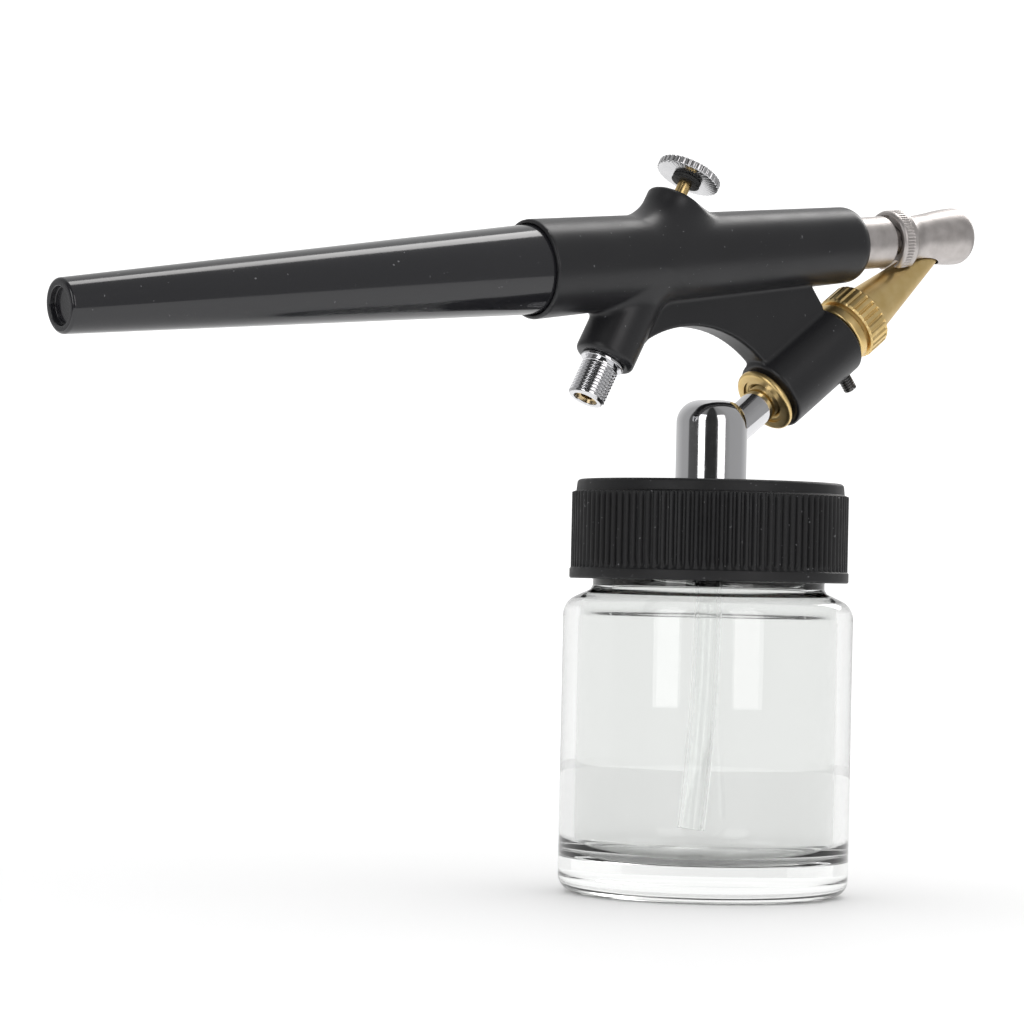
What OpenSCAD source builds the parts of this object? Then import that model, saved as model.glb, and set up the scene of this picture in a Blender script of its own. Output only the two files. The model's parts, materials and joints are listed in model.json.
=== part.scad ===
// Siphon-feed, external-mix airbrush standing on its paint jar.
// Millimetres. The origin is the centre of the jar's base, +X points to the nose and +Z is up.
// Three slanted axes lie in the XZ plane: the gun's own axis, the air valve's and the paint line's.

/* [Gun body] */
// Height of the gun's axis above the jar's base, measured on the jar's centreline
gun_h = 83.85; // [78:0.05:104]
// Nose-up tilt of the gun's axis, degrees
gun_tilt = 7.2; // [5:0.1:9]
// Length of the body behind the jar's centreline
body_rear = 30; // [27:0.5:40]
// Length of the body ahead of the jar's centreline
body_front = 25; // [22:0.5:26]
// Radius of the body at its rear rim
body_rear_r = 6.4; // [6:0.1:8]
// Radius of the body at its nose
body_nose_r = 5.05; // [4.6:0.05:6.2]
// Thickness of the web under the body
web_w = 3.8; // [3:0.1:5]
// Radius of the finger arch cut into the web
finger_r = 16.2; // [14:0.2:24]

/* [Handle] */
// Length of the handle seen behind the body
handle_l = 68; // [50:1:90]
// Radius of the handle at its rear end
handle_end_r = 3.35; // [3.2:0.05:4.5]
// Length of the plug that pushes into the body
plug_l = 11; // [8:0.5:12]

/* [Air valve and trigger] */
// Distance from the jar's centreline back to the valve, along the gun's axis
valve_back = 10.85; // [9:0.05:12.5]
// Forward lean of the valve's axis from the vertical, degrees
valve_lean = 28; // [24:0.5:32]
// Radius of the boss under the body
boss_r = 3.95; // [3.7:0.05:5]
// Depth of that boss below the gun's axis
boss_low = 15.2; // [14.5:0.1:19]
// Height of the boss over the gun's axis
boss_top = 9; // [8.6:0.1:10.8]
// Thread radius of the hose connector, M5
hose_r = 2.45; // [2.2:0.05:2.9]
// Length of the hose connector below the boss
hose_l = 5.8; // [5:0.1:8]
// Radius of the trigger's brass stem
stem_r = 0.88; // [0.75:0.01:1.05]
// Radius of the trigger button
button_r = 4.3; // [3.6:0.1:6]
// Thickness of the trigger button
button_t = 1.15; // [1:0.05:1.8]
// Distance that the trigger travels
trigger_travel = 2.2; // [1.6:0.1:2.4]

/* [Air nozzle] */
// Radius of the steel air barrel
barrel_r = 3.5; // [3:0.05:3.9]
// Length of barrel seen ahead of the body
barrel_l = 3.9; // [3.5:0.1:4.6]
// Radius of the air cap's knurled rim
cap_rim_r = 4.18; // [4.1:0.02:4.8]
// Radius of the air cap's flared mouth
cap_mouth_r = 3.86; // [3.6:0.02:4.6]
// Length of the air cap
cap_l = 13.5; // [13:0.1:16]
// Distance that the air cap slides on its spigot
cap_travel = 0.6; // [0.2:0.1:0.8]

/* [Paint line] */
// Distance from the jar's centreline to where the paint line meets the gun's axis
tip_reach = 40.74; // [39.5:0.05:41.5]
// Rise of the paint line from the horizontal, degrees
fluid_rise = 37; // [35.5:0.5:39]
// Radius of the holder moulded under the web
holder_r = 5; // [4.7:0.05:6]
// Where the holder starts along the paint line, measured from the jar's centreline
holder_start = 12; // [11:0.1:13]
// Length of the holder
holder_l = 13.5; // [12.5:0.1:14.5]
// Radius of the brass paint tube inside the holder
paint_tube_r = 3.25; // [3.1:0.05:3.8]
// Radius of the knurled collar of the fluid tip
collar_r = 4.7; // [4:0.05:5.2]
// Radius of the fluid tip's cone where it leaves the collar
cone_r = 3.5; // [3:0.05:3.8]
// Radius of the fluid tip's mouth
mouth_r = 0.82; // [0.7:0.02:1]
// Radius of the clamp screw
screw_r = 0.9; // [0.7:0.05:1.2]
// Radius of the chrome siphon tube
siphon_r = 2.35; // [2:0.05:2.6]

/* [Jar and cap] */
// Radius of the jar
jar_r = 19; // [17.5:0.5:24]
// Height of the jar's shoulder, where its neck starts
jar_shoulder = 39.8; // [34:0.2:46]
// Wall thickness of the jar
jar_wall = 2; // [1.5:0.1:3]
// Thickness of the jar's base
jar_floor = 4.5; // [3:0.1:6]
// Radius of the jar's neck
neck_r = 15.2; // [13:0.1:16]
// Height of the jar's neck above the shoulder
neck_h = 11.3; // [10:0.1:14]
// Radius of the screw cap over its ribs
cap_r = 18.15; // [17.7:0.05:22]
// Gap left between the jar's shoulder and the cap
cap_gap = 1.2; // [0.8:0.1:2.5]
// Radius of the chrome dome on the cap
dome_r = 4.66; // [4.2:0.02:5.6]
// Outer radius of the dip tube
dip_r = 1.85; // [1.5:0.05:2]
// Height of the dip tube's lower end above the jar's base
dip_clear = 8.5; // [6:0.1:14]

/* [Hidden] */
$fn = 72;

slip = 0.08;        // radial clearance of pieces that slide or turn in each other
snug = 0.02;        // radial clearance of pieces that are fixed in each other
face_gap = 0.05;    // gap between end faces that only meet
over = 1;           // how far a cutter runs past what it cuts

// The axes
valve_x = -valve_back * cos(gun_tilt);
valve_z = gun_h - valve_back * sin(gun_tilt);
meet_x = tip_reach * cos(gun_tilt);
fluid_z = gun_h + tip_reach * sin(gun_tilt) - meet_x * tan(fluid_rise);
fluid_meet = meet_x / cos(fluid_rise);

// Body, handle and plug
nose_round = 1.3;
boss_round = 0.6;
flare_r = 2.5;
flare_at = boss_r + 0.1 + flare_r;
web_top = 0.68;
handle_front_r = body_rear_r - 0.6;
rim_depth = 1.1;
plug_r = body_rear_r - 1.78;
plug_wall = 1.3;
socket_l = plug_l + 0.5;
handle_rear = -body_rear - handle_l;
end_recess = 0.8;
end_wall = 2.5;

// Valve
stem_hole_r = stem_r + slip;
chamber_r = 1.5;
connector_r = 2.6;
connector_top = boss_low - 6.2;
seat_t = connector_top + 1.6;
valve_bore_r = 1.55;
plunger_r = valve_bore_r - 0.2;
plunger_t = 1.2;
pin_r = 0.5;
seal_wire = 0.35;
plunger_top = seat_t + 2 * seal_wire + face_gap;
stem_low = connector_top - trigger_travel - 0.2;
button_low = boss_top + trigger_travel + 1.25;
hub_t = 0.7;
hub_r = 2;
hose_end = boss_low + hose_l;
valve_screw_t = 1;
valve_screw_in = 0.4;
spring_low = hose_end - valve_screw_in - valve_screw_t - face_gap;
spring_top = plunger_top + plunger_t + face_gap;
spring_wire_r = 0.2;
spring_r = 1.1;
spring_turns = 6;
stem_seal_t = 3.6;
stem_seal_wire = 0.45;

// Air barrel and cap
barrel_edge = 0.5;
rim_l = 3.8;
mouth_round = 1.55;
relief_gap = 0.3;
relief_over = 0.4;
barrel_in = body_front - 11;
barrel_end = body_front + barrel_l;
spigot_r = 2;
spigot_l = 3.4;
air_r = 1;
oring_wire = 0.3;
oring_at = barrel_end + spigot_l - 1.1;
cap_start = barrel_end + 0.5;
cap_end = cap_start + cap_l;
channel_r = 0.6;
cap_neck_r = cap_mouth_r - 0.66;

// Paint line
holder_end = holder_start + holder_l;
flange_start = holder_end + 0.5;
flange_t = 1.5;
flange_end = flange_start + flange_t;
flange_r = collar_r - 0.35;
ring_r = collar_r - 0.2;
ring_t = 1;
ring_start = holder_start - 0.45 - ring_t;
spigot_end = flange_end + 3.7;
thread_r = 2.6;
needle_base_r = 1.4;
needle_r = 0.35;
tip_seal_t = 0.4;
collar_start = flange_end + tip_seal_t + face_gap;
collar_end = collar_start + 3.8;
tip_end = fluid_meet - 0.2;
screw_at = holder_end - 1.5;
screw_out = 2.2;
tube_start = 2.6;
tube_end = holder_start + 6.5;

// Jar, cap and dome
heel_r = 2.3;
shoulder_r = 2.6;
inner_r = 3;
edge_r = 0.5;
dip_wall = 0.6;
neck_top = jar_shoulder + neck_h;
neck_in_r = neck_r - 2.4;
cap_low = jar_shoulder + cap_gap;
gasket_t = 0.8;
gasket_low = neck_top + face_gap;
cap_roof = gasket_low + gasket_t + face_gap;
cap_top = cap_roof + 2;
cap_in_r = neck_r + 1.25;
dome_low = cap_top + face_gap;
dome_top = fluid_z + 6.2;
dome_round = 3;
dome_stem_r = 2.8;
nut_t = 1.75;
nut_r = 5.2;
dome_stem_low = gasket_low - nut_t - 3;
dip_bend = 7.7;
dip_straight = 10;
dip_top = dome_stem_low + 3.8;
siphon_bore_r = 1.3;

// An arc's points, and the centre of an arc through two points
function arc(c, r, a0, a1, n = 8) =
    [for (i = [0:n]) let (a = a0 + (a1 - a0) * i / n) c + r * [cos(a), sin(a)]];
function arc_centre(a, b, r) = let (d = b - a, l = norm(d))
    (a + b) / 2 + sqrt(r * r - l * l / 4) * [d[1], -d[0]] / l;
function heading(v) = atan2(v[1], v[0]);

// Points of the XZ plane given along and across each slanted axis
function slant_pt(from, a, t, up) = from + t * [cos(a), sin(a)] + up * [-sin(a), cos(a)];
function gun_pt(s, up = 0) = slant_pt([0, gun_h], gun_tilt, s, up);
function valve_pt(t, ahead = 0) = slant_pt([valve_x, valve_z], 90 - valve_lean, t, -ahead);
function fluid_pt(t, up = 0) = slant_pt([0, fluid_z], fluid_rise, t, up);

// Local +Z runs along the gun to the nose, up the valve to the trigger, or up the paint line to the tip
module on_gun() translate([0, 0, gun_h]) rotate([0, 90 - gun_tilt, 0]) children();
module on_valve() translate([valve_x, 0, valve_z]) rotate([0, valve_lean, 0]) children();
module on_fluid() translate([0, 0, fluid_z]) rotate([0, 90 - fluid_rise, 0]) children();

module rod(r, low, high, r2 = -1)
    translate([0, 0, low]) cylinder(r1 = r, r2 = r2 < 0 ? r : r2, h = high - low);
module pipe(r, bore, low, high) difference() {
    rod(r, low, high);
    rod(bore, low - over, high + over);
}
module ring(major, minor, at)
    translate([0, 0, at]) rotate_extrude() translate([major, 0]) circle(r = minor, $fn = 24);

// ---- The gun's body: one moulding with the valve bosses, the web and the holder

module body_outline() rotate_extrude() polygon(concat(
    [[0, -body_rear], [body_rear_r - 0.3, -body_rear], [body_rear_r, -body_rear + 0.3]],
    arc([body_nose_r - nose_round, body_front - nose_round], nose_round, 0, 80),
    [[0, body_front]]));

module low_boss() rotate_extrude() polygon(concat([[0, 0], [0, -boss_low]],
    arc([boss_r - boss_round, -boss_low + boss_round], boss_round, -90, 0), [[boss_r, 0]]));

module top_boss() rotate_extrude() polygon(concat(
    [[0, 0], [boss_r + 1.5, 0], [boss_r + 1.3, 4.4]],
    arc([flare_at, boss_top - 2.4], flare_r, 225, 180),
    arc([boss_r - 0.5, boss_top - boss_round], boss_round, 0, 90),
    [[0, boss_top]]));

module web() {
    boss_side = valve_pt(-boss_low * web_top, boss_r * 0.9);
    holder_side = fluid_pt(holder_start - 0.7, holder_r + 3.65);
    centre = arc_centre(boss_side, holder_side, finger_r);
    rotate([90, 0, 0]) linear_extrude(height = web_w, center = true) polygon(concat(
        [valve_pt(0, 0), valve_pt(-boss_low * 0.6, 0)],
        arc(centre, finger_r, heading(boss_side - centre), heading(holder_side - centre), 16),
        [fluid_pt(holder_start, holder_r + 0.9), fluid_pt(holder_start + 0.3, holder_r - 0.6),
        fluid_pt(holder_end - 0.3, holder_r - 0.6), fluid_pt(holder_end - 0.2, holder_r),
        gun_pt(holder_end * cos(fluid_rise) - 2, -body_nose_r + 0.6), gun_pt(0, 0)]));
}

module body_shell() color("#2b2b2d") difference() {
    union() {
        on_gun() body_outline();
        on_valve() low_boss();
        on_valve() top_boss();
        web();
        on_fluid() rod(holder_r, holder_start, holder_end);
    }
    on_gun() {
        rod(handle_front_r + 0.15, -body_rear - over, -body_rear + rim_depth);
        rod(plug_r + slip, -body_rear - over, -body_rear + socket_l);
        rod(barrel_r + snug, barrel_in - face_gap, body_front + over);
        rod(air_r + 0.2, -valve_back, barrel_in);
    }
    on_valve() {
        rod(connector_r + snug, -boss_low - over, -connector_top + face_gap);
        rod(chamber_r, -connector_top, 0.5);
        rod(stem_hole_r, 0, boss_top + over);
        ring(stem_r + stem_seal_wire, stem_seal_wire + 0.03, stem_seal_t);
    }
    on_fluid() {
        rod(paint_tube_r + slip, holder_start - over, holder_end + over);
        translate([0, 0, screw_at]) rotate([0, 90, 0]) rod(screw_r + slip, 0, holder_r + over);
    }
}

module handle() color("#1c1c1f") on_gun() {
    shoulder = -body_rear + rim_depth - face_gap;
    difference() {
        union() {
            rotate_extrude() polygon(concat([[0, handle_rear]],
                arc([handle_end_r - 0.6, handle_rear + 0.6], 0.6, -90, 0),
                [[handle_front_r, shoulder], [0, shoulder]]));
            rod(plug_r, shoulder - 0.5, shoulder + plug_l - rim_depth);
        }
        rod(handle_end_r - 1, handle_rear - over, handle_rear + end_recess);
        rod(handle_end_r - plug_wall, handle_rear + end_wall, shoulder + plug_l, plug_r - plug_wall);
    }
}

// ---- The air barrel and the cap that slides on it

module air_barrel() color("#b9b4b0") on_gun() difference() {
    union() {
        rotate_extrude() polygon(concat([[0, barrel_in], [barrel_r, barrel_in]],
            arc([barrel_r - barrel_edge, barrel_end - barrel_edge], barrel_edge, 0, 90),
            [[0, barrel_end]]));
        rod(spigot_r, barrel_end - over, barrel_end + spigot_l);
    }
    rod(air_r, barrel_in - over, barrel_end + spigot_l + over);
    difference() {
        rod(spigot_r + over, oring_at - oring_wire, oring_at + oring_wire);
        rod(spigot_r - 2 * oring_wire, barrel_end, barrel_end + spigot_l);
    }
}

module cap_oring() color("#202020") on_gun() ring(spigot_r - oring_wire, oring_wire - 0.01, oring_at);

module air_cap() color("#bdb8b4") difference() {
    on_gun() difference() {
        rotate_extrude() polygon(concat(
            [[0, cap_start], [cap_rim_r - 0.3, cap_start], [cap_rim_r - 0.06, cap_start + 0.3]],
            [[cap_rim_r, cap_start + 0.8], [cap_rim_r, cap_start + 2.1]],
            [[cap_rim_r - 0.35, cap_start + 2.9], [cap_neck_r, cap_start + rim_l]],
            [for (i = [1:6]) let (flare = pow(sin(i * 15), 2))
                [cap_neck_r + (cap_mouth_r - cap_neck_r) * flare,
                    cap_start + rim_l + (cap_l - rim_l - 1.6) * i / 6]],
            arc([cap_mouth_r - mouth_round, cap_end - 1.6], mouth_round, 10, 88, 6),
            [[0, cap_end]]));
        rod(barrel_r + 0.1, cap_start - over, cap_start + 1.2);
        rod(spigot_r + slip, cap_start, barrel_end + spigot_l + 0.1);
        rod(channel_r, cap_start, cap_end);
        rod(channel_r, cap_end - 6.4, cap_end + 0.1, cap_mouth_r - 1.25);
    }
    for (back = [0:0.2:1])
        translate(-back * cap_travel * [cos(gun_tilt), 0, sin(gun_tilt)])
            on_fluid() rod(cone_r + relief_gap, collar_end, tip_end + relief_over, mouth_r + 0.25);
}

// ---- The hose connector with the air valve inside it

module hose_connector() color("#cfcfcf") on_valve() difference() {
    union() {
        rod(hose_r, -hose_end, -boss_low - 0.9);
        rod(hose_r - 0.25, -boss_low - 1, -boss_low - 0.5);
        rod(connector_r + 0.3, -boss_low - 0.55, -boss_low - face_gap);
        rod(connector_r, -boss_low - 0.1, -connector_top);
    }
    rod(valve_bore_r, -hose_end - over, -seat_t);
    rod(stem_r + 0.06, -seat_t - over, -connector_top + over);
}

module valve_screw() color("#c9a24a") on_valve()
    pipe(valve_bore_r - snug, 0.8, -hose_end + valve_screw_in, -hose_end + valve_screw_in + valve_screw_t);

// A wire of six sides wound up the valve's axis, as rings of points joined by flat faces
module valve_spring() color("#c4c4c4") on_valve() {
    steps = spring_turns * 14;
    sides = 6;
    low = -spring_low + spring_wire_r;
    climb = spring_low - spring_top - 2 * spring_wire_r;
    points = [for (i = [0:steps], k = [0:sides - 1])
        let (a = 360 * i * spring_turns / steps, w = 360 * k / sides, r = spring_r + spring_wire_r * cos(w))
            [r * cos(a), r * sin(a), low + climb * i / steps + spring_wire_r * sin(w)]];
    skin = [for (i = [0:steps - 1], k = [0:sides - 1])
        let (n = (k + 1) % sides, a = i * sides, b = a + sides) [a + k, b + k, b + n, a + n]];
    first = [for (k = [0:sides - 1]) k];
    last = [for (k = [sides - 1:-1:0]) steps * sides + k];
    polyhedron(points, concat([first], skin, [last]));
}

module valve_plunger() color("#c9a24a") on_valve() {
    rod(plunger_r, -plunger_top - plunger_t, -plunger_top);
    rod(pin_r, -plunger_top - plunger_t - 3, -plunger_top - plunger_t + 0.1);
    rod(pin_r, -plunger_top - 0.1, -stem_low - 0.02);
}

module plunger_seal() color("#202020") on_valve()
    ring(pin_r + seal_wire + 0.02, seal_wire, -plunger_top + seal_wire + 0.02);

module stem_seal() color("#202020") on_valve()
    ring(stem_r + stem_seal_wire + 0.03, stem_seal_wire - 0.02, stem_seal_t);

module trigger_stem() color("#d8a94a") on_valve() rod(stem_r, -stem_low, button_low + button_t / 2);

module trigger_hub() color("#1a1a1a") on_valve() pipe(hub_r, stem_r + snug, button_low - hub_t, button_low);

module trigger_button() color("#dcdcdc") on_valve() difference() {
    rotate_extrude() polygon(concat(
        [[0, button_low], [button_r - 0.2, button_low], [button_r, button_low + 0.2]],
        arc([button_r - 0.3, button_low + button_t - 0.3], 0.3, 0, 80, 4),
        [[0, button_low + button_t]]));
    rod(stem_r + snug, button_low - over, button_low + button_t / 2 + face_gap);
}

// ---- The brass paint line held under the web

module clamp_screw() color("#6a6a6c") on_fluid() translate([0, 0, screw_at]) rotate([0, 90, 0])
    difference() {
        rod(screw_r, paint_tube_r + face_gap, holder_r + screw_out);
        translate([0, 0, holder_r + screw_out - 0.3]) cube([3 * screw_r, 0.3, 1], center = true);
    }

module paint_tube() color("#d0a048") on_fluid() difference() {
    union() {
        rod(paint_tube_r, ring_start + 0.25, flange_start + 0.1);
        rotate_extrude() polygon(concat(
            [[0, flange_start]],
            arc([flange_r - 0.4, flange_start + 0.4], 0.4, -90, 0, 4),
            arc([flange_r - 0.4, flange_end - 0.4], 0.4, 0, 90, 4),
            [[0, flange_end]]));
        rod(thread_r, flange_end - 0.1, spigot_end);
    }
    rod(paint_tube_r - 0.3, ring_start, ring_start + 1.5);
    rod(siphon_r + slip, ring_start, tube_end + 0.5);
    rod(siphon_bore_r, ring_start, flange_end);
    rod(needle_base_r + snug, flange_end - 0.1, spigot_end + over);
}

module socket_ring() color("#d0a048") on_fluid() difference() {
    rotate_extrude() polygon(concat(
        [[0, ring_start]],
        arc([ring_r - 0.3, ring_start + 0.3], 0.3, -90, 0, 4),
        arc([ring_r - 0.3, ring_start + ring_t - 0.3], 0.3, 0, 90, 4),
        [[0, ring_start + ring_t]]));
    rod(paint_tube_r + snug, ring_start - over, ring_start + ring_t + over);
}

module needle() color("#c8c8c8") on_fluid() {
    base_end = spigot_end - 0.6;
    difference() {
        rod(needle_base_r, flange_end, base_end);
        for (side = [-1, 1])
            translate([side * needle_base_r, 0, flange_end])
                cube([1.5, 1.4, 2 * (base_end - flange_end) + over], center = true);
    }
    rod(needle_r, base_end - 0.1, tip_end - 4);
    rod(needle_r, tip_end - 4.01, tip_end - 0.3, 0.1);
}

module tip_seal() color("#e8e4da") on_fluid()
    pipe(thread_r + 0.9, thread_r + snug, flange_end + 0.01, flange_end + tip_seal_t);

module fluid_tip() color("#d8ac54") on_fluid() difference() {
    union() {
        rotate_extrude() polygon([
            [0, collar_start], [collar_r - 0.25, collar_start], [collar_r, collar_start + 0.25],
            [collar_r, collar_end - 0.6], [collar_r - 0.7, collar_end], [0, collar_end]]);
        rod(cone_r, collar_end - 0.01, tip_end, mouth_r);
    }
    rod(thread_r + slip, collar_start - over, spigot_end + 0.2);
    rod(thread_r - 0.5, spigot_end, tip_end + 0.01, mouth_r - 0.4);
}

// ---- The siphon, and the jar that hangs from it

module siphon_tube() color("#d5d5d5") on_fluid() pipe(siphon_r, siphon_bore_r, tube_start, tube_end);

module siphon_dome() color("#d8d8d8") difference() {
    union() {
        rotate_extrude() polygon(concat(
            [[0, dome_low], [dome_r, dome_low]],
            arc([dome_r - dome_round, dome_top - dome_round], dome_round, 0, 90),
            [[0, dome_top]]));
        rod(dome_stem_r, dome_stem_low, dome_low + 0.1);
    }
    rod(siphon_bore_r, dome_stem_low - over, fluid_z + 1.2);
    rod(dip_r + snug, dome_stem_low - over, dip_top + face_gap);
    on_fluid() rod(siphon_r + snug, tube_start - face_gap, dome_r + 9);
    on_fluid() rod(siphon_bore_r, 0, tube_start);
}

module adaptor_nut() color("#c8c8c8") difference() {
    translate([0, 0, gasket_low - face_gap - nut_t]) cylinder(r = nut_r, h = nut_t, $fn = 6);
    rod(dome_stem_r + snug, dome_stem_low, cap_roof);
}

module cap_gasket() color("#e0ddd4")
    pipe(cap_in_r - 0.15, dome_stem_r + snug, gasket_low, gasket_low + gasket_t);

module jar_cap() color("#252527") difference() {
    rotate_extrude() polygon(concat(
        [[0, cap_low], [cap_r + 0.15, cap_low], [cap_r + 0.15, cap_low + 1.3], [cap_r, cap_low + 1.4]],
        [[cap_r, cap_top - 1.6], [cap_r - 0.7, cap_top - 1.5]],
        arc([cap_r - 0.7 - edge_r, cap_top - edge_r], edge_r, 0, 90, 4),
        [[0, cap_top]]));
    rod(cap_in_r, cap_low - over, cap_roof);
    rod(dome_stem_r + slip, cap_roof - over, cap_top + over);
}

module jar() color("#dfe8e2", 0.4) difference() {
    rotate_extrude() polygon(concat(
        [[0, 0]],
        arc([jar_r - heel_r, heel_r], heel_r, -90, 0),
        arc([jar_r - shoulder_r, jar_shoulder - 3.5], shoulder_r, 0, 65),
        [[neck_r + 0.3, jar_shoulder - 0.2], [neck_r, jar_shoulder]],
        arc([neck_r - edge_r, neck_top - edge_r], edge_r, 0, 90, 4),
        [[0, neck_top]]));
    rotate_extrude() polygon(concat(
        [[0, jar_floor]],
        arc([jar_r - jar_wall - inner_r, jar_floor + inner_r], inner_r, -90, 0),
        arc([jar_r - jar_wall - inner_r, jar_shoulder - 6.6], inner_r, 0, 60),
        [[neck_in_r, jar_shoulder - 1.2], [neck_in_r, neck_top + over], [0, neck_top + over]]));
}

module dip_tube() color("#eef0f0", 0.5) {
    bend_top = dip_top - dip_straight;
    bend_r = (bend_top - dip_clear) / sin(dip_bend);
    pipe(dip_r, dip_r - dip_wall, bend_top, dip_top);
    translate([-bend_r, 0, bend_top]) rotate([-90, 0, 0])
        rotate_extrude(angle = dip_bend, $fn = 360) translate([bend_r, 0]) difference() {
            circle(r = dip_r, $fn = 36);
            circle(r = dip_r - dip_wall, $fn = 36);
        }
}

body_shell();
handle();
air_barrel();
air_cap();
cap_oring();
hose_connector();
valve_screw();
valve_spring();
valve_plunger();
plunger_seal();
stem_seal();
trigger_stem();
trigger_hub();
trigger_button();
clamp_screw();
paint_tube();
socket_ring();
needle();
tip_seal();
fluid_tip();
siphon_tube();
siphon_dome();
adaptor_nut();
cap_gasket();
jar_cap();
jar();
dip_tube();
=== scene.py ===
import json
import math

import bmesh
import bpy
import numpy as np
from mathutils import Matrix, Vector


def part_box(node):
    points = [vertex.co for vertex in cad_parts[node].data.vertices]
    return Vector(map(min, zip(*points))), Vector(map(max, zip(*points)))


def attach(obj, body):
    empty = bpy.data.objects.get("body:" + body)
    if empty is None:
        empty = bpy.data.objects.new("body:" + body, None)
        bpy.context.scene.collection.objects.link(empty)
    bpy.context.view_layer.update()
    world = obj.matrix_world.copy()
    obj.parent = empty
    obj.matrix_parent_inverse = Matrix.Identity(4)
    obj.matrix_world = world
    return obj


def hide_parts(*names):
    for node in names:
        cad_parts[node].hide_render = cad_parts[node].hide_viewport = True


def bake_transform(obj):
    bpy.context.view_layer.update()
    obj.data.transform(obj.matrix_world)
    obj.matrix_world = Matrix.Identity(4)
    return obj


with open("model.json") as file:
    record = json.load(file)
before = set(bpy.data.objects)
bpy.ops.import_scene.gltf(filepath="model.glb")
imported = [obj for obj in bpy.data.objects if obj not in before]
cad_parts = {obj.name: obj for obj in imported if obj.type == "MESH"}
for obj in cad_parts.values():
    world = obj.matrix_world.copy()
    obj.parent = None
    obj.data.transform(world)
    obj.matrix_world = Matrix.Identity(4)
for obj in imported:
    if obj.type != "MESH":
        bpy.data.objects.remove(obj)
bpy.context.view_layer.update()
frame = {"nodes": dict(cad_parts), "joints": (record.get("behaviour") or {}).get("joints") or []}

# =====================================================================================================
# Body: one moulding of satin black plastic, with a tapered barrel, two bosses for the air valve, a thin
# web with the finger arch, and the holder for the paint line. It leaves its mould with soft fillets,
# and straight cores make its bores. Every other piece is pushed or screwed into it.

mm = 0.001
joints = {joint["name"]: joint for joint in frame["joints"]}


def middle(node):
    """The centre of a CAD node's box, in millimetres."""
    low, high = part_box(node)
    return (Vector(low) + Vector(high)) / 2 / mm


def line_at(point, way):
    """A line of the gun as a frame in millimetres: Z runs along it, Y across the gun and X under it."""
    along = Vector(way).normalized()
    side = Vector((0, 1, 0))
    return Matrix.Translation(point) @ Matrix((side.cross(along), side, along)).transposed().to_4x4()


def over_jar(point, way):
    """The same line, with its zero on the jar's centreline."""
    return line_at(point - way * (point.x / way.x), way)


gun = over_jar(middle("cap_oring"), Vector(joints["air_cap_slide"]["axis"]))
paint = over_jar(middle("siphon_tube"), Vector(joints["paint_line_swivel"]["axis"]))

valve_way = -Vector(joints["trigger_press"]["axis"])
gun_under = gun.col[0].xyz
valve_drop = (gun.translation - middle("trigger_stem")).dot(gun_under) / valve_way.dot(gun_under)
valve = line_at(middle("trigger_stem") + valve_way * valve_drop, valve_way)

# Gaps left by a tight fit and by a sliding fit.
tight, slip = 0.02, 0.08
body_rear, body_front = -30.0, 23.6
body_rear_r, body_nose_r, nose_round = 6.4, 5.05, 2.2
boss_r, boss_low, boss_top = 3.95, -15.2, 9.0
holder_r, holder_start, holder_end = 5.0, 12.0, 25.5
web_w, web_low, web_ahead, web_sunk = 3.8, boss_low * 0.68, 10, 0.6
web_top_at, web_inset = 18.4, 0.2
finger_r = 16.2
heel_l, heel_h, notch_h = 0.7, 3.65, 0.9
rim, rim_gap, plug_bore_end = -28.9, 0.15, -18.5
handle_front_r, plug_r = 5.8, 4.62
barrel_r, nose_bore = 3.5, 13.95
air_way_r, air_way_start, air_way_end = 1.2, -10.8, 14.5
connector_r, valve_seat, valve_room_r, valve_room_top = 2.6, -8.95, 1.5, 0.5
stem_r, seal_low, seal_high, seal_room_r = 0.88, 3.1, 4.1, 1.85
paint_tube_r = 3.25
screw_r, screw_at, screw_bore = 0.9, 24.0, 2.9


def round_cut(a, b, radius):
    """Distance to what two shapes share, with the edge between them rounded."""
    corner = np.hypot(np.maximum(radius + a, 0), np.maximum(radius + b, 0))
    return np.minimum(-radius, np.maximum(a, b)) + corner


def round_join(a, b, radius):
    """Distance to two shapes together, with a fillet between them."""
    corner = np.hypot(np.maximum(radius - a, 0), np.maximum(radius - b, 0))
    return np.maximum(radius, np.minimum(a, b)) - corner


def seen_from(line, points):
    """How far points are along a line, out from it, and to its under side."""
    under, side, along = ((points - np.array(line.translation)) @ np.array(line.to_3x3())).T
    return along, np.hypot(under, side), under


def on_line(line, along, under):
    """A point of the gun's middle plane, as (x, z)."""
    point = line @ Vector((under, 0, along))
    return np.array((point.x, point.z))


def arch_centre(start, end, radius):
    """The centre of the finger arch through two points, which lies under them."""
    chord = end - start
    length = np.linalg.norm(chord)
    under = np.array((chord[1], -chord[0]))
    return (start + end) / 2 + math.sqrt(radius ** 2 - length ** 2 / 4) * under / length


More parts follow.
